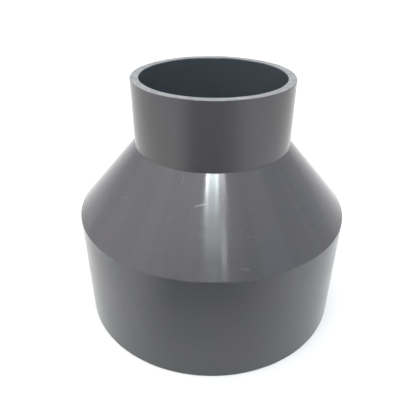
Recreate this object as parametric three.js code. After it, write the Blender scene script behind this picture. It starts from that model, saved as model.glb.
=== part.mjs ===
// Grey PVC-U pipe reducer, 250 mm to 140 mm, fabricated from two lengths of pipe and a formed cone.
// The three shells are butt-fused end to end, on one axis. Outside, the fusion beads are dressed off
// flush, so both joints are plain creases; inside, the beads stay on.
//
// Millimetres. The origin is the centre of the large end's cut face, and +Z runs along the common
// axis towards the small end. The fitting is round about that axis, so X and Y are alike.

import * as THREE from 'three';

// Pipe lengths: outside diameter, wall, and length along the axis.
const LARGE_OD = 250;
const LARGE_WALL = 12;
const LARGE_LENGTH = 106;
const SMALL_OD = 140;
const SMALL_WALL = 7.2;
const SMALL_LENGTH = 57.5;

// Cone: its height, and its wall measured square to the axis at each end.
const CONE_HEIGHT = 63.5;
const CONE_WALL_AT_LARGE_END = 13;
const CONE_WALL_AT_SMALL_END = 8;

// Sawn rims have their edges lightly broken.
const RIM_EDGE_BREAK = 0.5;

// Fused faces, and a bead and the wall that it lies on, stand this far apart as separate solids.
const FUSION_GAP = 0.3;

// Inner bead: two rolls of squeezed-out plastic side by side, one from each fused face. Each roll
// has a width along the axis and swells to a height above a thin foot.
const LARGE_ROLL = { width: 5.5, height: 2.6, foot: 0.8 };
const SMALL_ROLL = { width: 4, height: 1.8, foot: 0.7 };
const STEPS_PER_ROLL = 4;

const FACETS_AROUND = 96;

const largeRadius = LARGE_OD / 2;
const smallRadius = SMALL_OD / 2;
const largeBore = largeRadius - LARGE_WALL;
const smallBore = smallRadius - SMALL_WALL;
const largeJoint = LARGE_LENGTH;
const smallJoint = largeJoint + CONE_HEIGHT;
const smallRim = smallJoint + SMALL_LENGTH;
const coneBoreAtLargeJoint = largeRadius - CONE_WALL_AT_LARGE_END;
const coneBoreAtSmallJoint = smallRadius - CONE_WALL_AT_SMALL_END;

const { mapLinear } = THREE.MathUtils;

function pvc(color, roughness) {
  return new THREE.MeshStandardMaterial({ color, roughness, metalness: 0 });
}

// Radius of the cone's outer and inner surface at a height.
function coneOutside(z) {
  return mapLinear(z, largeJoint, smallJoint, largeRadius, smallRadius);
}

function coneInside(z) {
  return mapLinear(z, largeJoint, smallJoint, coneBoreAtLargeJoint, coneBoreAtSmallJoint);
}

// A closed ring about the Z axis. The outline lists [radius, height] up its outside and down its
// inside, and is closed here by repeating the first point.
function ring(name, outline, material) {
  const points = [...outline, outline[0]].map(([radius, height]) => new THREE.Vector2(radius, height));
  const geometry = new THREE.LatheGeometry(points, FACETS_AROUND);
  geometry.rotateX(Math.PI / 2);
  const mesh = new THREE.Mesh(geometry, material);
  mesh.name = name;
  return mesh;
}

// The large pipe length stands on its rim, with its fused face up.
function largeEndSpigot() {
  const fusedFace = largeJoint - FUSION_GAP / 2;
  const outline = [
    [largeRadius - RIM_EDGE_BREAK, 0],
    [largeRadius, RIM_EDGE_BREAK],
    [largeRadius, fusedFace],
    [largeBore, fusedFace],
    [largeBore, RIM_EDGE_BREAK],
    [largeBore + RIM_EDGE_BREAK, 0],
  ];
  return ring('large_end_spigot', outline, pvc('#5c6368', 0.36));
}

// The cone's wall thins evenly from the large joint to the small one.
function conicalBody() {
  const bottom = largeJoint + FUSION_GAP / 2;
  const top = smallJoint - FUSION_GAP / 2;
  const outline = [
    [coneOutside(bottom), bottom],
    [coneOutside(top), top],
    [coneInside(top), top],
    [coneInside(bottom), bottom],
  ];
  return ring('conical_body', outline, pvc('#62636a', 0.33));
}

// The small pipe length has its fused face down and its rim up.
function smallEndSpigot() {
  const fusedFace = smallJoint + FUSION_GAP / 2;
  const outline = [
    [smallRadius, fusedFace],
    [smallRadius, smallRim - RIM_EDGE_BREAK],
    [smallRadius - RIM_EDGE_BREAK, smallRim],
    [smallBore + RIM_EDGE_BREAK, smallRim],
    [smallBore, smallRim - RIM_EDGE_BREAK],
    [smallBore, fusedFace],
  ];
  return ring('small_end_spigot', outline, pvc('#5a6065', 0.36));
}

// Inner bead of one joint. wall(z) is the radius of the wall that it lies on, which bends or steps at
// the heights in seatHeights. The outline goes up that wall and comes down over both rolls.
function innerBead(name, joint, roll, wall, seatHeights) {
  const seat = seatHeights.map((z) => [wall(z) - FUSION_GAP, z]);
  const crown = [];
  for (let step = STEPS_PER_ROLL; step >= -STEPS_PER_ROLL; step -= 1) {
    const z = joint + (roll.width * step) / STEPS_PER_ROLL;
    const swell = roll.height * Math.abs(Math.sin((Math.PI * step) / STEPS_PER_ROLL));
    crown.push([wall(z) - FUSION_GAP - roll.foot - swell, z]);
  }
  return ring(name, [...seat, ...crown], pvc('#56595d', 0.5));
}

// The cone's wall starts a little inside the large pipe's bore, and the bead bridges that step.
function largeEndWeldBead() {
  const bend = mapLinear(largeBore, coneBoreAtLargeJoint, coneBoreAtSmallJoint, largeJoint, smallJoint);
  const wall = (z) => Math.min(largeBore, coneInside(z));
  const seatHeights = [largeJoint - LARGE_ROLL.width, bend, largeJoint + LARGE_ROLL.width];
  return innerBead('large_end_weld_bead', largeJoint, LARGE_ROLL, wall, seatHeights);
}

function smallEndWeldBead() {
  const wall = (z) => (z > smallJoint ? smallBore : coneInside(z));
  const seatHeights = [smallJoint - SMALL_ROLL.width, smallJoint, smallJoint + SMALL_ROLL.width];
  return innerBead('small_end_weld_bead', smallJoint, SMALL_ROLL, wall, seatHeights);
}

const reducer = new THREE.Group();
reducer.add(largeEndSpigot(), conicalBody(), smallEndSpigot(), largeEndWeldBead(), smallEndWeldBead());

export default reducer;
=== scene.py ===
"""Looks for a grey PVC-U pipe reducer: two lengths of pipe and a cone, butt-fused on one axis.

Metres throughout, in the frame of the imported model: the large end stands on z = 0 and the axis
is Z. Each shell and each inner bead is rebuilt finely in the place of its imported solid. An angle
named turn runs round the axis from the front, -Y, towards +X.
"""
import math

import bmesh
import bpy
from mathutils import Matrix, Vector, noise


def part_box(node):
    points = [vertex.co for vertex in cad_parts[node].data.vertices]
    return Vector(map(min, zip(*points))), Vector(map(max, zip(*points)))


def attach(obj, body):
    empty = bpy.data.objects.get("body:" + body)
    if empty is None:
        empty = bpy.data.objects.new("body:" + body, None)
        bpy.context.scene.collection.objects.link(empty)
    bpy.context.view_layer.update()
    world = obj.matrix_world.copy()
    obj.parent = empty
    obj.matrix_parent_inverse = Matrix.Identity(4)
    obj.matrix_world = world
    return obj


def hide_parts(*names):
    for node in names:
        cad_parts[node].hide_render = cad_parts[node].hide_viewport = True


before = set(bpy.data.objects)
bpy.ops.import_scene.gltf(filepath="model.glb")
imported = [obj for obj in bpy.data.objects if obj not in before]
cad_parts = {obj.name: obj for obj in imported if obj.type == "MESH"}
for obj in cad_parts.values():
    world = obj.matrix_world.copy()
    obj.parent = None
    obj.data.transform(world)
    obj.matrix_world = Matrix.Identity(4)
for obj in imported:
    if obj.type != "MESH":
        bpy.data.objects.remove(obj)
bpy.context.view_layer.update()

MM = 0.001
SAME_FACE = 0.1 * MM        # corners this close in height lie in one face

# ---------------------------------------------------------------- sizes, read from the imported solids


def corners(node):
    """Every (radius, height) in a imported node, to the nearest micrometre."""
    places = [v.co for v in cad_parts[node].data.vertices]
    return [(round(math.hypot(co.x, co.y), 6), round(co.z, 6)) for co in places]


def radii(node, height=None):
    """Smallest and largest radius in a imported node, or only in its face at a height."""
    found = [r for r, z in corners(node) if height is None or abs(z - height) < SAME_FACE]
    return min(found), max(found)


cone_foot, cone_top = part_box("conical_body")[0].z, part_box("conical_body")[1].z
LARGE_BORE, LARGE_RADIUS = radii("large_end_spigot")
SMALL_BORE, SMALL_RADIUS = radii("small_end_spigot")
CONE_BORE_LOW = radii("conical_body", cone_foot)[0]
CONE_BORE_HIGH = radii("conical_body", cone_top)[0]
LARGE_JOINT = (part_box("large_end_spigot")[1].z + cone_foot) / 2
SMALL_JOINT = (cone_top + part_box("small_end_spigot")[0].z) / 2
SMALL_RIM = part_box("small_end_spigot")[1].z


def cone_outside(height):
    share = (height - LARGE_JOINT) / (SMALL_JOINT - LARGE_JOINT)
    return LARGE_RADIUS + share * (SMALL_RADIUS - LARGE_RADIUS)


def cone_inside(height):
    share = (height - cone_foot) / (cone_top - cone_foot)
    return CONE_BORE_LOW + share * (CONE_BORE_HIGH - CONE_BORE_LOW)


# ---------------------------------------------------------------- shape details
AROUND = 360
RIM_ROUND = 0.6 * MM        # how far a sawn rim's outer edge is broken
BORE_ROUND = 1.0 * MM       # and its inner edge
RIM_UNEVEN = 0.15 * MM      # how much that varies round the rim
SAW_WANDER = 0.12 * MM      # how far a sawn face dips below its plane
LOWER_CREASE_ROUND = 1.2 * MM
UPPER_CREASE_ROUND = 0.9 * MM
LOOP_GAP = 0.8 * MM         # from a rounded edge to the loop that keeps the wall beside it flat
WALL_STEP = 9 * MM          # between loops along a plain wall
SHARPEST_SMOOTH = math.radians(35)      # folds sharper than this aren't shaded smooth


def wander(turn, seed, lumps=3.0):
    """A smooth value between about -1 and 1 that closes up round the axis."""
    return 2 * noise.noise(Vector((lumps * math.cos(turn), lumps * math.sin(turn), 7.3 * seed)))


def arc(before, at, after, radius, steps):
    """Points of the arc that rounds the corner at `at` of an outline."""
    corner = Vector(at)
    back, on = (Vector(before) - corner).normalized(), (Vector(after) - corner).normalized()
    half = back.angle(on) / 2
    centre = corner + (back + on).normalized() * (radius / math.sin(half))
    reach = radius / math.tan(half)
    start, end = corner + back * reach - centre, corner + on * reach - centre
    spokes = [start.slerp(end, step / steps).normalized() * radius for step in range(steps + 1)]
    return [tuple(centre + spoke) for spoke in spokes]


def stretch(start, end, spans):
    """Points between two ends of a straight wall: a loop close to each end and even ones between."""
    a, b = Vector(start), Vector(end)
    gap = LOOP_GAP / (b - a).length
    return [tuple(a.lerp(b, gap + (1 - 2 * gap) * i / spans)) for i in range(spans + 1)]


def outline_points(outline, rounds, steps=6):
    """An outline with the corners named in rounds, {index: radius}, rounded, and loops along its walls."""
    count = len(outline)
    groups = []
    for i, at in enumerate(outline):
        before, after = outline[i - 1], outline[(i + 1) % count]
        groups.append(arc(before, at, after, rounds[i], steps) if i in rounds else [at])
    points = []
    for i, group in enumerate(groups):
        points += group
        wall = (Vector(outline[(i + 1) % count]) - Vector(outline[i])).length
        if wall > 4 * LOOP_GAP:
            points += stretch(group[-1], groups[(i + 1) % count][0], max(1, round(wall / WALL_STEP)))
    return points


def crease(before, at, after, radius, steps=8):
    """The arc over a crease between two fused pieces, split at the joint: (points below, points above)."""
    points = arc(before, at, after, radius, steps)
    joint = at[1]
    for (r0, z0), (r1, z1) in zip(points, points[1:]):
        if z0 <= joint < z1:
            middle = (r0 + (r1 - r0) * (joint - z0) / (z1 - z0), joint)
    return [p for p in points if p[1] < joint] + [middle], [middle] + [p for p in points if p[1] > joint]


def lathe(name, outline_at, around=AROUND):
    """A closed ring about Z.

    outline_at(turn) gives (radius, height) points, up the outside and down the inside.
    """
    mesh = bpy.data.meshes.new(name)
    build = bmesh.new()
    rings = []
    for step in range(around):
        turn = 2 * math.pi * step / around
        across, along = math.sin(turn), -math.cos(turn)
        rings.append([build.verts.new((r * across, r * along, z)) for r, z in outline_at(turn)])
    for step, here in enumerate(rings):
        there = rings[(step + 1) % around]
        for i in range(len(here)):
            j = (i + 1) % len(here)
            build.faces.new((here[i], there[i], there[j], here[j]))
    build.to_mesh(mesh)
    build.free()
    for face in mesh.polygons:
        face.use_smooth = True
    mesh.set_sharp_from_angle(angle=SHARPEST_SMOOTH)
    piece = bpy.data.objects.new(name, mesh)
    bpy.context.scene.collection.objects.link(piece)
    return piece


# ---------------------------------------------------------------- materials
class Nodes:
    """Short calls that add nodes to a tree. An argument is a value, or another node's output to link."""

    def __init__(self, tree):
        self.tree = tree

    def add(self, kind, inputs, **settings):
        made = self.tree.nodes.new(kind)
        for name, value in settings.items():
            setattr(made, name, value)
        for socket, value in inputs.items():
            if isinstance(value, bpy.types.NodeSocket):
                self.tree.links.new(value, made.inputs[socket])
            else:
                made.inputs[socket].default_value = value
        return made

    def math(self, operation, *values):
        return self.add("ShaderNodeMath", dict(enumerate(values)), operation=operation).outputs[0]

    def vector(self, operation, *values):
        made = self.add("ShaderNodeVectorMath", dict(enumerate(values)), operation=operation)
        return made.outputs["Vector"]

    def dot(self, first, second):
        made = self.add("ShaderNodeVectorMath", {0: first, 1: second}, operation="DOT_PRODUCT")
        return made.outputs["Value"]

    def scaled(self, vector, factor):
        made = self.add("ShaderNodeVectorMath", {0: vector, "Scale": factor}, operation="SCALE")
        return made.outputs["Vector"]

    def step(self, value, start, end, low=0.0, high=1.0):
        """Eases from low to high as the value goes from start to end."""
        inputs = {"Value": value, "From Min": start, "From Max": end, "To Min": low, "To Max": high}
        return self.add("ShaderNodeMapRange", inputs, interpolation_type="SMOOTHSTEP").outputs[0]

    def times(self, *values):
        product = values[0]
        for value in values[1:]:
            product = self.math("MULTIPLY", product, value)
        return product

    def plus(self, *values):
        total = values[0]
        for value in values[1:]:
            total = self.math("ADD", total, value)
        return total


class Look(Nodes):
    """A material in the making, round its Principled shader."""

    def __init__(self, name):
        self.material = bpy.data.materials.new(name)
        self.material.use_nodes = True
        super().__init__(self.material.node_tree)
        self.shader = self.tree.nodes["Principled BSDF"]
        self.place = self.add("ShaderNodeTexCoord", {}).outputs["Object"]
        self.height = self.dot(self.place, (0, 0, 1))

    def lumps(self, size, detail=2.0, roughness=0.5, tilt=0.0):
        """Soft noise from 0 to 1. size is a lump's size along X, Y and Z; tilt leans its Z over to X."""
        axes = [(1 / size[0], 0, 0), (0, 1 / size[1], 0), (tilt / size[2], 0, 1 / size[2])]
        parts = dict(enumerate(self.dot(self.place, axis) for axis in axes))
        where = self.add("ShaderNodeCombineXYZ", parts).outputs[0]
        inputs = {"Vector": where, "Scale": 1.0, "Detail": detail, "Roughness": roughness}
        return self.add("ShaderNodeTexNoise", inputs).outputs[0]

    def even(self, size, detail=2.0, roughness=0.5):
        return self.lumps((size, size, size), detail, roughness)

    def blend(self, factor, first, second):
        """Colours mixed by a factor."""
        inputs = {0: factor, 6: first, 7: second}       # 6 and 7 are the node's two colours
        return self.add("ShaderNodeMix", inputs, data_type="RGBA").outputs[2]

    def finish(self, colour, roughness, bump_height, **constants):
        """Links the three patterns to the shader, and sets its other sockets."""
        normal = self.add("ShaderNodeBump", {"Height": bump_height, "Distance": 1.0}).outputs[0]
        for socket, output in (("Base Color", colour), ("Roughness", roughness), ("Normal", normal)):
            self.tree.links.new(output, self.shader.inputs[socket])
        for name, value in constants.items():
            self.shader.inputs[name.replace("_", " ")].default_value = value
        return self.material


PVC_IOR = 1.54
CHALK = (0.30, 0.31, 0.32, 1)     # scuffed or sawn PVC, where the surface is broken up


def turning_marks(look, spacing):
    """1 along the fine cuts that turning left round the axis.

    They are unevenly spaced and come and go, and they are fainter above MARKS_FADE.
    """
    inputs = {"W": look.height, "Scale": 1 / spacing, "Detail": 2.0}
    cuts = look.add("ShaderNodeTexNoise", inputs, noise_dimensions="1D").outputs[0]
    present = look.step(look.lumps((60 * MM, 60 * MM, 20 * MM)), 0.30, 0.50)
    lower = look.step(look.height, MARKS_FADE[0], MARKS_FADE[1], 1.0, 0.25)
    return look.times(look.step(cuts, 0.56, 0.64), present, lower)


def rays(look, width):
    """Faint bands that run up a wall, from 0 to 1, each about that many degrees of turn wide."""
    outward = look.vector("NORMALIZE", look.vector("MULTIPLY", look.place, (1, 1, 0)))
    inputs = {"Vector": outward, "Scale": 1 / math.radians(width), "Detail": 2.0}
    return look.step(look.add("ShaderNodeTexNoise", inputs).outputs[0], 0.35, 0.65)


def edge_wear_and_shade(look, heights, reach):
    """1 at any of the heights, easing to 0 at that reach above and below, and broken up by noise."""
    nearest = look.math("ABSOLUTE", look.math("SUBTRACT", look.height, heights[0]))
    for other in heights[1:]:
        distance = look.math("ABSOLUTE", look.math("SUBTRACT", look.height, other))
        nearest = look.math("MINIMUM", nearest, distance)
    ragged = look.lumps((20 * MM, 20 * MM, 4 * MM), detail=3.0)
    return look.times(look.step(nearest, 0.0, reach, 1.0, 0.0), look.step(ragged, 0.35, 0.75))


def hairlines(look, length, tilt, rarity):
    """Fine handling scratches of about a length, run round the axis at a tilt. Rarity is 0.5 to 1."""
    lines = look.lumps((length, length, 0.5 * MM), detail=0.0, tilt=tilt)
    patches = look.step(look.even(35 * MM), 0.45, 0.7)
    return look.times(look.step(lines, rarity, rarity + 0.06), patches)


def specks(look, spacing, share):
    """Small pale grains of dust, one in each cell of that spacing in a share of the cells."""
    inputs = {"Vector": look.place, "Scale": 1 / spacing}
    cells = look.add("ShaderNodeTexVoronoi", inputs)
    chosen = look.step(look.dot(cells.outputs["Color"], (1, 0, 0)), 1 - share, 1 - share + 0.01)
    return look.times(look.step(cells.outputs["Distance"], 0.03, 0.07, 1.0, 0.0), chosen)


def scratch(look, wall, turn, height, length, tilt, width):
    """A mask along one straight scratch on a wall's outside. wall(height) is the wall's radius."""
    slope = (wall(height + MM) - wall(height - MM)) / (2 * MM)
    outward = Vector((math.sin(turn), -math.cos(turn), 0))
    round_axis = Vector((math.cos(turn), math.sin(turn), 0))
    up_wall = (outward * slope + Vector((0, 0, 1))).normalized()
    run = round_axis * math.cos(tilt) + up_wall * math.sin(tilt)
    middle = outward * wall(height) + Vector((0, 0, height))
    offset = look.vector("SUBTRACT", look.place, tuple(middle))
    along = look.dot(offset, tuple(run))
    beside = look.vector("SUBTRACT", offset, look.scaled(tuple(run), along))
    across = look.math("SQRT", look.dot(beside, beside))
    ends = look.step(look.math("ABSOLUTE", along), length / 5, length / 2, 1.0, 0.0)
    return look.times(ends, look.step(across, width / 5, width / 2, 1.0, 0.0))


def pvc(name, tints, gloss, worn_heights, crease_shade_height=None, turned=False, scratches=(), wall=None):
    """Satin grey PVC-U: two tints in soft patches, orange peel, hairlines, dust and worn edges.

    gloss is its roughness where clean. Where a crease height is given, a painted shade darkens the hollow
    crease there. A turned wall has turning marks and rays, and its highlights stretch up the wall.
    scratches are single ones on wall(height), each with its own strength.
    """
    look = Look(name)
    wear = edge_wear_and_shade(look, worn_heights, WEAR_REACH)
    long_lines = hairlines(look, length=16 * MM, tilt=0.25, rarity=0.75)
    short_lines = hairlines(look, length=12 * MM, tilt=-0.5, rarity=0.77)
    fine = look.math("MAXIMUM", long_lines, short_lines)
    dust = specks(look, spacing=9 * MM, share=0.12)
    scuffs = look.times(fine, HAIRLINE_STRENGTH)
    for turn, height, length, tilt, width, strength in scratches:
        sizes = height * MM, length * MM, math.radians(tilt), width * MM
        single = look.times(scratch(look, wall, math.radians(turn), *sizes), strength)
        scuffs = look.math("MAXIMUM", scuffs, single)
    patches = look.step(look.even(45 * MM, detail=3.0), 0.35, 0.65)
    grain = look.even(1.1 * MM, detail=3.0, roughness=0.6)
    colour = look.blend(patches, (*tints[0], 1), (*tints[1], 1))
    colour = look.scaled(colour, look.step(grain, 0.2, 0.8, 0.94, 1.06))
    smear = look.step(look.lumps((50 * MM, 50 * MM, 25 * MM), detail=3.0), 0.3, 0.7, -0.02, 0.02)
    roughness = look.plus(smear, gloss)
    peel = look.times(look.even(2.6 * MM, detail=2.0), PEEL_HEIGHT)
    bumps = look.plus(peel, look.times(scuffs, -SCUFF_DEPTH), look.times(grain, GRAIN_HEIGHT))
    if turned:
        marks, bands = turning_marks(look, TURNING_SPACING), rays(look, RAY_WIDTH)
        # The turning marks are real shallow grooves, cut into the bumps below; their darker colour is
        # painted shade for the highlight that the grooves lose.
        tone = look.plus(look.times(marks, -MARK_PAINTED_SHADE), look.times(bands, RAY_TINT), TURNED_TONE)
        colour = look.scaled(colour, tone)
        roughness = look.plus(roughness, look.times(marks, -MARK_GLOSS), look.times(bands, RAY_HAZE))
        bumps = look.plus(bumps, look.times(marks, -TURNING_DEPTH))
        tangent = look.add("ShaderNodeTangent", {}, direction_type="RADIAL", axis="Z").outputs[0]
        look.tree.links.new(tangent, look.shader.inputs["Tangent"])
        look.shader.inputs["Anisotropic"].default_value = TURNED_GRAIN
        look.shader.inputs["Anisotropic Rotation"].default_value = 0.25
    pale = look.plus(look.times(wear, WEAR_PALE), scuffs, look.times(dust, DUST_PALE))
    colour = look.blend(pale, colour, CHALK)
    # Painted shade: the hollow crease is darkened where shade falls in it, and its roughness is raised.
    if crease_shade_height:
        corner = edge_wear_and_shade(look, [crease_shade_height], CREASE_SHADE_REACH)
        colour = look.scaled(colour, look.plus(look.times(corner, -CREASE_SHADE_DARK), 1.0))
        roughness = look.plus(roughness, look.times(corner, CREASE_DULL))
    dulled = look.times(wear, WEAR_DULL), look.times(scuffs, SCUFF_DULL), look.times(dust, DUST_DULL)
    roughness = look.plus(roughness, *dulled)
    return look.finish(colour, roughness, bumps, IOR=PVC_IOR)


def sawn(name):
    """A sawn PVC face: pale and chalky, with the blade's fine parallel lines across it."""
    look = Look(name)
    strokes = look.lumps((0.45 * MM, 14 * MM, 40 * MM), detail=3.0, roughness=0.65)
    blotches = look.even(7 * MM, detail=3.0)
    pale = look.blend(look.step(strokes, 0.35, 0.65), (0.131, 0.135, 0.140, 1), (0.164, 0.168, 0.176, 1))
    colour = look.blend(look.step(blotches, 0.4, 0.75, 0.0, 0.5), pale, (0.118, 0.121, 0.126, 1))
    roughness = look.step(blotches, 0.3, 0.7, 0.5, 0.68)
    return look.finish(colour, roughness, look.times(strokes, 0.03 * MM), IOR=PVC_IOR)


def squeezed(name):
    """The bead's skin: melted and set, a little darker and glossier, with flow lines round the axis."""
    look = Look(name)
    flow = look.lumps((30 * MM, 30 * MM, 0.7 * MM), detail=3.0, roughness=0.6)
    patches = look.even(12 * MM, detail=3.0)
    colour = look.blend(look.step(patches, 0.3, 0.7), (0.045, 0.050, 0.054, 1), (0.066, 0.070, 0.074, 1))
    crests = look.step(flow, 0.62, 0.8, 0.0, 0.25)
    colour = look.blend(crests, colour, CHALK)
    roughness = look.plus(look.step(patches, 0.3, 0.7, 0.26, 0.38), look.times(crests, 0.3))
    return look.finish(colour, roughness, look.times(flow, 0.05 * MM), IOR=PVC_IOR)


# ---------------------------------------------------------------- pieces
LARGE_TINTS = (0.040, 0.041, 0.044), (0.044, 0.043, 0.047)
CONE_TINTS = (0.046, 0.044, 0.049), (0.045, 0.045, 0.051)
SMALL_TINTS = (0.045, 0.042, 0.045), (0.045, 0.044, 0.048)
# The bore's tints are the same grey PVC made lighter and bluer: painted cool light from the lamps overhead.
BORE_COOL_LIGHT_TINTS = (0.050, 0.062, 0.072), (0.056, 0.067, 0.078)
PIPE_GLOSS = 0.2
CONE_GLOSS = 0.14
TURNED_GRAIN = 0.75         # how much the highlights on the turned cone stretch up its wall
TURNING_SPACING = 1.7 * MM
TURNING_DEPTH = 0.002 * MM
MARKS_FADE = 140 * MM, 152 * MM
RAY_WIDTH = 6               # degrees of turn
WEAR_REACH = 1.0 * MM
CREASE_SHADE_REACH = 1.2 * MM
PEEL_HEIGHT = 0.012 * MM
GRAIN_HEIGHT = 0.002 * MM
SCUFF_DEPTH = 0.03 * MM
HAIRLINE_STRENGTH = 0.05
# The last of these is how dark the painted shade in the hollow crease is.
WEAR_PALE, DUST_PALE, CREASE_SHADE_DARK = 0.10, 0.10, 0.5                      # shares of the colour
WEAR_DULL, SCUFF_DULL, DUST_DULL, CREASE_DULL = 0.12, 0.4, 0.3, 0.15     # added to the roughness
TURNED_TONE, RAY_TINT, MARK_PAINTED_SHADE = 0.95, 0.12, 0.035                   # shares of the colour
RAY_HAZE, MARK_GLOSS = 0.015, 0.02                                      # changes to the roughness

# Single scratches on the cone: turn, height, length, tilt, width and strength.
CONE_SCRATCHES = [
    (-5.6, 150.2, 13.0, 15, 2.2, 0.22),
    (12.8, 112.6, 9.0, -14, 1.2, 0.11),
    (-49.5, 141.5, 15.0, 14, 1.4, 0.07),
    (16.8, 130.5, 14.0, -4, 1.0, 0.04),
    (13.2, 134.5, 5.0, 24, 1.0, 0.06),
    (-24.0, 120.0, 6.0, 30, 1.0, 0.04),
    (-17.7, 163.5, 11.0, 84, 2.2, 0.07),
]


def place(piece, node, slot, *materials):
    for material in materials:
        piece.data.materials.append(material)
    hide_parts(node)
    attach(piece, "root")


def sawn_faces(piece, rim):
    """Gives the second material to the flat face at a rim."""
    for face in piece.data.polygons:
        if abs(face.center.z - rim) < BORE_ROUND / 2 and abs(face.normal.z) > 0.7:
            face.material_index = 1


def bore_faces(piece, index):
    """Gives a piece's inside wall the material at that index."""
    for face in piece.data.polygons:
        outward = Vector((face.center.x, face.center.y, 0))
        if face.material_index == 0 and face.normal.dot(outward) < 0:
            face.material_index = index


lower_corner, upper_corner = (LARGE_RADIUS, LARGE_JOINT), (SMALL_RADIUS, SMALL_JOINT)
lower_crease = crease((LARGE_RADIUS, 0), lower_corner, upper_corner, LOWER_CREASE_ROUND)
upper_crease = crease(lower_corner, upper_corner, (SMALL_RADIUS, SMALL_RIM), UPPER_CREASE_ROUND)


def edge_break(amount, turn, seed):
    return amount + RIM_UNEVEN * wander(turn, seed, 6)


def dip(turn, seed):
    """How far a sawn face lies inside its plane."""
    return SAW_WANDER * max(0.0, 1 + wander(turn, seed)) / 2


def large_end():
    def outline_at(turn):
        rim = dip(turn, 1)
        rims = [(LARGE_BORE, rim), (LARGE_RADIUS, rim)]
        rounds = {0: edge_break(BORE_ROUND, turn, 2), 1: edge_break(RIM_ROUND, turn, 3)}
        return outline_points(rims + lower_crease[0] + [(LARGE_BORE, LARGE_JOINT)], rounds)

    piece = lathe("large_end_shell", outline_at)
    skin = pvc("large_pipe_skin", LARGE_TINTS, PIPE_GLOSS, [0, LARGE_JOINT])
    place(piece, "large_end_spigot", "large_pipe_pvc", skin, sawn("large_sawn_face"), bore_skin_cool_light)
    sawn_faces(piece, 0)
    bore_faces(piece, 2)


def cone():
    inside = [(CONE_BORE_HIGH, SMALL_JOINT), (CONE_BORE_LOW, LARGE_JOINT)]
    points = outline_points(lower_crease[1] + upper_crease[0] + inside, {})
    piece = lathe("cone_shell", lambda turn: points)
    skin = pvc(
        "cone_skin", CONE_TINTS, CONE_GLOSS, [LARGE_JOINT], SMALL_JOINT, True, CONE_SCRATCHES, cone_outside
    )
    place(piece, "conical_body", "cone_pvc", skin, bore_skin_cool_light)
    bore_faces(piece, 1)


def small_end():
    def outline_at(turn):
        rim = SMALL_RIM - dip(turn, 4)
        rims = [(SMALL_RADIUS, rim), (SMALL_BORE, rim)]
        first = len(upper_crease[1])
        rounds = {first: edge_break(RIM_ROUND, turn, 5), first + 1: edge_break(BORE_ROUND, turn, 6)}
        return outline_points(upper_crease[1] + rims + [(SMALL_BORE, SMALL_JOINT)], rounds)

    piece = lathe("small_end_shell", outline_at)
    skin = pvc("small_pipe_skin", SMALL_TINTS, PIPE_GLOSS, [SMALL_RIM], SMALL_JOINT)
    place(piece, "small_end_spigot", "small_pipe_pvc", skin, sawn("small_sawn_face"), bore_skin_cool_light)
    sawn_faces(piece, SMALL_RIM)
    bore_faces(piece, 2)


ROLL_UNEVEN, EDGE_UNEVEN = 0.06, 0.04       # how much a bead's height and width vary, as shares


def bead(name, node, slot, joint, wall, seed):
    """Two rolls of squeezed-out plastic inside a joint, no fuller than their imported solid.

    wall(height) is the radius of the wall that they lie on.
    """
    width = (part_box(node)[1].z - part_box(node)[0].z) / 2
    crest = wall(joint + width / 2) - radii(node)[0]
    steps = 12

    def outline_at(turn):
        points = [(wall(joint + side * width), joint + side * width) for side in (-1, 0, 1)]
        for side in (1, -1):
            full = 1 - ROLL_UNEVEN + ROLL_UNEVEN * wander(turn, seed + side, 5)
            reach = width * (1 - EDGE_UNEVEN + EDGE_UNEVEN * wander(turn, seed + 2 * side, 4))
            for step in range(1 if side < 0 else 0, steps + 1):
                away = 1 - step / steps if side > 0 else step / steps
                height = joint + side * reach * away
                swell = crest * full * (0.25 + 0.75 * math.sin(math.pi * away) ** 0.8)
                points.append((wall(height) - swell, height))
        return points

    piece = lathe(name, outline_at)
    place(piece, node, slot, squeezed(name + "_skin"))


def large_bead_wall(height):
    return min(LARGE_BORE, cone_inside(height))


def small_bead_wall(height):
    return SMALL_BORE if height > SMALL_JOINT else cone_inside(height)


# The inside walls' grey PVC, with painted cool light in its tint.
bore_skin_cool_light = pvc("bore_skin_cool_light", BORE_COOL_LIGHT_TINTS, PIPE_GLOSS, [0, SMALL_RIM])
large_end()
cone()
small_end()
bead("large_end_bead", "large_end_weld_bead", "weld_bead_pvc", LARGE_JOINT, large_bead_wall, 20)
bead("small_end_bead", "small_end_weld_bead", "weld_bead_pvc", SMALL_JOINT, small_bead_wall, 30)


# ---------------------------------------------------------------- floor
def sheet(name, low, high, z):
    """A flat rectangle between two (x, y) corners."""
    mesh = bpy.data.meshes.new(name)
    corner_points = [(low[0], low[1], z), (high[0], low[1], z), (high[0], high[1], z), (low[0], high[1], z)]
    mesh.from_pydata(corner_points, [], [(0, 1, 2, 3)])
    piece = bpy.data.objects.new(name, mesh)
    bpy.context.scene.collection.objects.link(piece)
    return piece


FLOOR_Z = -0.5 * MM
SHADE_SHEET_Z = 0.2 * MM


def floor():
    """A wide, plain white table top."""
    half = 30
    piece = sheet("floor", (-half, -half), (half, half), FLOOR_Z)
    look = Look("table_white")
    mottle = look.step(look.even(0.4), 0.3, 0.7, 0.71, 0.73)
    dull = look.step(look.even(0.02), 0.3, 0.7, 0.85, 0.95)
    white = look.scaled((1, 1, 1), mottle)
    piece.data.materials.append(look.finish(white, dull, 0.0, Specular_IOR_Level=0.0))


# The painted shade sheet's soft edges: turns in degrees on its left and right, and distances from the axis.
SHADE_SHEET_LEFT, SHADE_SHEET_RIGHT = (-52, -18), (5, 60)
SHADE_SHEET_NEAR = 0.10, 0.28
SHADE_SHEET_THICKEST = 0.86         # where it is thickest it still lets a little of the white table through


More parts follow.
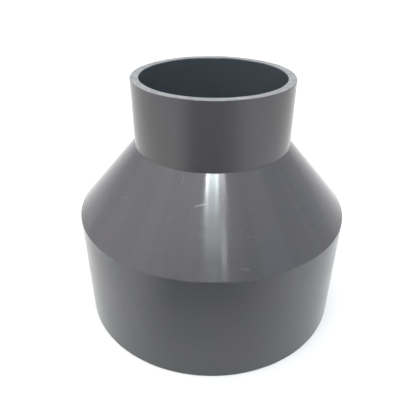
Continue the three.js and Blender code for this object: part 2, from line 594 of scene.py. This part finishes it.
def front_shade_sheet():
    """A dark sheet with soft edges in front that stands in for the shade on the table there, seen only in
    reflections: painted shade that darkens the pipes' middles.
    """
    piece = sheet("front_shade_sheet", (-1.6, -1.8), (1.6, -0.126), SHADE_SHEET_Z)
    look = Look("painted_shade_black")
    weave = look.even(0.01)
    colour = look.blend(weave, (0.02, 0.02, 0.02, 1), (0.05, 0.05, 0.05, 1))
    turn = look.math("ARCTAN2", look.dot(look.place, (1, 0, 0)), look.dot(look.place, (0, -1, 0)))
    distance = look.math("SQRT", look.dot(look.place, look.place))
    left = look.step(turn, math.radians(SHADE_SHEET_LEFT[0]), math.radians(SHADE_SHEET_LEFT[1]))
    right = look.step(turn, math.radians(SHADE_SHEET_RIGHT[0]), math.radians(SHADE_SHEET_RIGHT[1]), 1.0, 0.0)
    cover = look.times(left, right, look.step(distance, *SHADE_SHEET_NEAR), SHADE_SHEET_THICKEST)
    look.tree.links.new(cover, look.shader.inputs["Alpha"])
    dull = look.step(weave, 0, 1, 0.8, 1.0)
    piece.data.materials.append(look.finish(colour, dull, 0.0, Specular_IOR_Level=0.0))
    piece.visible_camera = piece.visible_diffuse = piece.visible_shadow = False


floor()
front_shade_sheet()


# ---------------------------------------------------------------- light
def lamp(name, x, y, z, size, radiance, colour=(1, 1, 1)):
    """A flat lamp that faces straight down. size is along X and Y."""
    data = bpy.data.lights.new(name, "AREA")
    data.shape = "RECTANGLE"
    data.size, data.size_y = size
    data.energy = radiance * math.pi * size[0] * size[1]
    data.color = colour
    piece = bpy.data.objects.new(name, data)
    bpy.context.scene.collection.objects.link(piece)
    piece.location = (x, y, z)


# Two tubes in a tray above and in front, and a fainter second row beyond them.
LAMP_Y, LAMP_Z, LAMP_LENGTH = -0.73, 1.20, 0.22
lamp("tube_left", -0.105, LAMP_Y, LAMP_Z, (0.04, LAMP_LENGTH), 82, (0.96, 1.0, 0.99))
lamp("tube_right", 0.115, LAMP_Y, LAMP_Z, (0.04, LAMP_LENGTH), 56, (0.87, 1.0, 1.0))
lamp("tray_between", 0.005, LAMP_Y, LAMP_Z, (0.18, LAMP_LENGTH), 27, (0.87, 1.0, 1.04))
lamp("tray_side", 0.22, LAMP_Y, LAMP_Z, (0.17, LAMP_LENGTH), 11.5, (0.98, 1.0, 1.06))
lamp("second_row", 0.05, -1.08, LAMP_Z, (0.36, 0.24), 2.8, (0.92, 1.0, 1.02))
lamp("second_row_side", 0.27, -1.15, LAMP_Z, (0.10, 0.34), 4, (1.0, 1.0, 1.0))


def room(world):
    """A bright room by direction: plain walls, a glow along the floor, and soft round patches.

    A patch is its turn and elevation in degrees, how far it reaches, where it is full, and its
    colour, which is below zero where it takes light away. The camera sees plain white instead.
    """
    nodes = Nodes(world.node_tree)
    direction = nodes.add("ShaderNodeTexCoord", {}).outputs["Generated"]
    rise = nodes.dot(direction, (0, 0, 1))
    glow = nodes.step(rise, math.sin(math.radians(3.5)), math.sin(math.radians(6)), 0.36, 0.0)
    ceiling = nodes.step(rise, math.sin(math.radians(28)), math.sin(math.radians(50)), 0.0, 0.83)
    light = nodes.scaled((1, 1, 1), nodes.plus(glow, ceiling, 0.35))
    patches = [
        (-70, 45, 54, 12, (0.72, 0.69, 0.66)),
        (0, 66, 36, 12, (0.83, 0.85, 0.87)),
        (-90, 15, 60, 15, (0.82, 0.78, 0.76)),
        (90, 15, 60, 15, (0.66, 0.69, 0.74)),
        (180, 25, 55, 15, (1.55, 1.56, 1.58)),
        (0, 20, 36, 20, (-0.35, -0.35, -0.33)),
    ]
    for turn, elevation, reach, full, colour in patches:
        turn, elevation = math.radians(turn), math.radians(elevation)
        flat = math.cos(elevation)
        centre = (flat * math.sin(turn), -flat * math.cos(turn), math.sin(elevation))
        closeness = nodes.dot(direction, centre)
        share = nodes.step(closeness, math.cos(math.radians(reach)), math.cos(math.radians(full)))
        light = nodes.vector("ADD", light, nodes.scaled(colour, share))
    is_camera = nodes.add("ShaderNodeLightPath", {}).outputs["Is Camera Ray"]
    either = {0: is_camera, 4: light, 5: (1, 1, 1)}
    shown = nodes.add("ShaderNodeMix", either, data_type="VECTOR").outputs[1]
    nodes.tree.links.new(shown, nodes.tree.nodes["Background"].inputs["Color"])


world = bpy.data.worlds.new("room")
bpy.context.scene.world = world
world.use_nodes = True
room(world)

# ---------------------------------------------------------------- camera
CAMERA_BACK = 374.9 * MM
CAMERA_UP = 324.5 * MM
CAMERA_PITCH, CAMERA_YAW, CAMERA_ROLL = math.radians(31.47), math.radians(-0.54), math.radians(0.53)
SENSOR = 36
LENS = 38.04

camera_data = bpy.data.cameras.new("camera")
camera_data.sensor_width = SENSOR
camera_data.lens = LENS
camera = bpy.data.objects.new("camera", camera_data)
bpy.context.scene.collection.objects.link(camera)
turned = Matrix.Rotation(-CAMERA_YAW, 4, "Z") @ Matrix.Rotation(math.pi / 2 - CAMERA_PITCH, 4, "X")
camera.matrix_world = (
    Matrix.Translation((0, -CAMERA_BACK, CAMERA_UP)) @ turned @ Matrix.Rotation(CAMERA_ROLL, 4, "Z")
)
bpy.context.scene.camera = camera
bpy.context.scene.view_settings.view_transform = "Standard"
